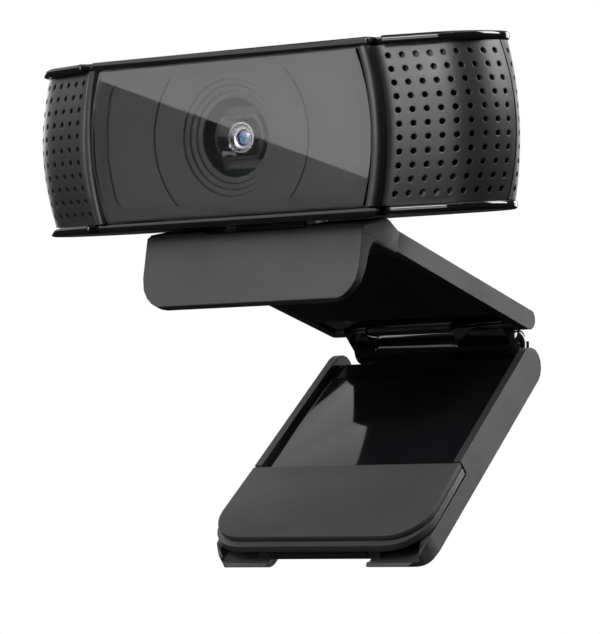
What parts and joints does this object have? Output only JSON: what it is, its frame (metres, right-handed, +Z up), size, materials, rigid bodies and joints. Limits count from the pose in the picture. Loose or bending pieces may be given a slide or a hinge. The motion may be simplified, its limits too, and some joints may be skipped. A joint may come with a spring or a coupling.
{
  "type": "webcam",
  "caption": "Wide webcam head with a round lens behind a flat window and perforated side grilles, on a folding clip that hooks over a monitor and props itself with a hinged leg and foot.",
  "frame": {"origin": "middle of the clip's seat, the flat pad under the clip's arm that rests on the top edge of a monitor", "axes": "+X along the camera head's long side, -Y towards what the camera looks at, +Z up with the clip's arm level"},
  "size_m": [0.094, 0.0772, 0.0844],
  "materials": {
    "matte_shell": "fine matte moulded texture",
    "gloss_trim": "polished black",
    "rubber_pad": "soft matte rubber",
    "grille": "satin black, perforated",
    "textured_plate": "fine spark-eroded grey texture",
    "window": "clear, polished, black border printed behind",
    "lens": "coated glass",
    "steel": "plain steel",
    "brass": "turned brass",
    "circuit_board": "green solder mask",
    "light_guide": "smoked clear plastic, unlit"
  },
  "bodies": {
    "clip": {"arm_shell": "matte_shell", "arm_liner": "gloss_trim", "seat_pad": "rubber_pad", "tilt_pin": "steel", "hinge_pin": "steel"},
    "head": {"top_cover": "gloss_trim", "bottom_cover": "gloss_trim", "front_housing": "matte_shell", "rear_housing": "matte_shell", "left_grille": "grille", "right_grille": "grille", "front_window": "window", "left_bezel": "gloss_trim", "right_bezel": "gloss_trim", "lens_plate": "textured_plate", "left_light_guide": "light_guide", "right_light_guide": "light_guide", "lens_shade": "gloss_trim", "focus_housing": "matte_shell", "sensor_board": "circuit_board", "main_board": "circuit_board", "left_board_screw": "steel", "right_board_screw": "steel", "left_microphone": "steel", "right_microphone": "steel", "cord_gland": "rubber_pad", "tilt_bracket": "steel"},
    "focus": {"focus_carriage": "grille"},
    "lens": {"lens_barrel": "gloss_trim", "lens_glass": "lens"},
    "leg": {"leg_shell": "matte_shell", "leg_liner": "gloss_trim", "foot_pin": "steel", "tripod_socket": "brass"},
    "foot": {"foot_plate": "matte_shell", "foot_pad": "rubber_pad"}
  },
  "joints": [
    {"name": "head_tilt", "type": "hinge", "parent": "clip", "child": "head", "pos_m": [0, -0.017, 0.0045], "axis": [1, 0, 0], "range_deg": [-18.5, 6]},
    {"name": "leg_fold", "type": "hinge", "parent": "clip", "child": "leg", "pos_m": [0, 0.0366, -0.0015], "axis": [1, 0, 0], "range_deg": [-47, 65]},
    {"name": "foot_flip", "type": "hinge", "parent": "leg", "child": "foot", "pos_m": [0, 0.0089, -0.04559], "axis": [1, 0, 0], "range_deg": [0, 30]},
    {"name": "autofocus", "type": "slide", "parent": "head", "child": "focus", "axis": [0, -0.9483, -0.3173], "range_m": [0, 0.0002], "stiffness_N_per_m": 15},
    {"name": "lens_thread", "type": "hinge", "parent": "focus", "child": "lens", "pos_m": [0, -0.03402, 0.01409], "axis": [0, -0.9483, -0.3173], "range_deg": [-180, 180]}
  ]
}
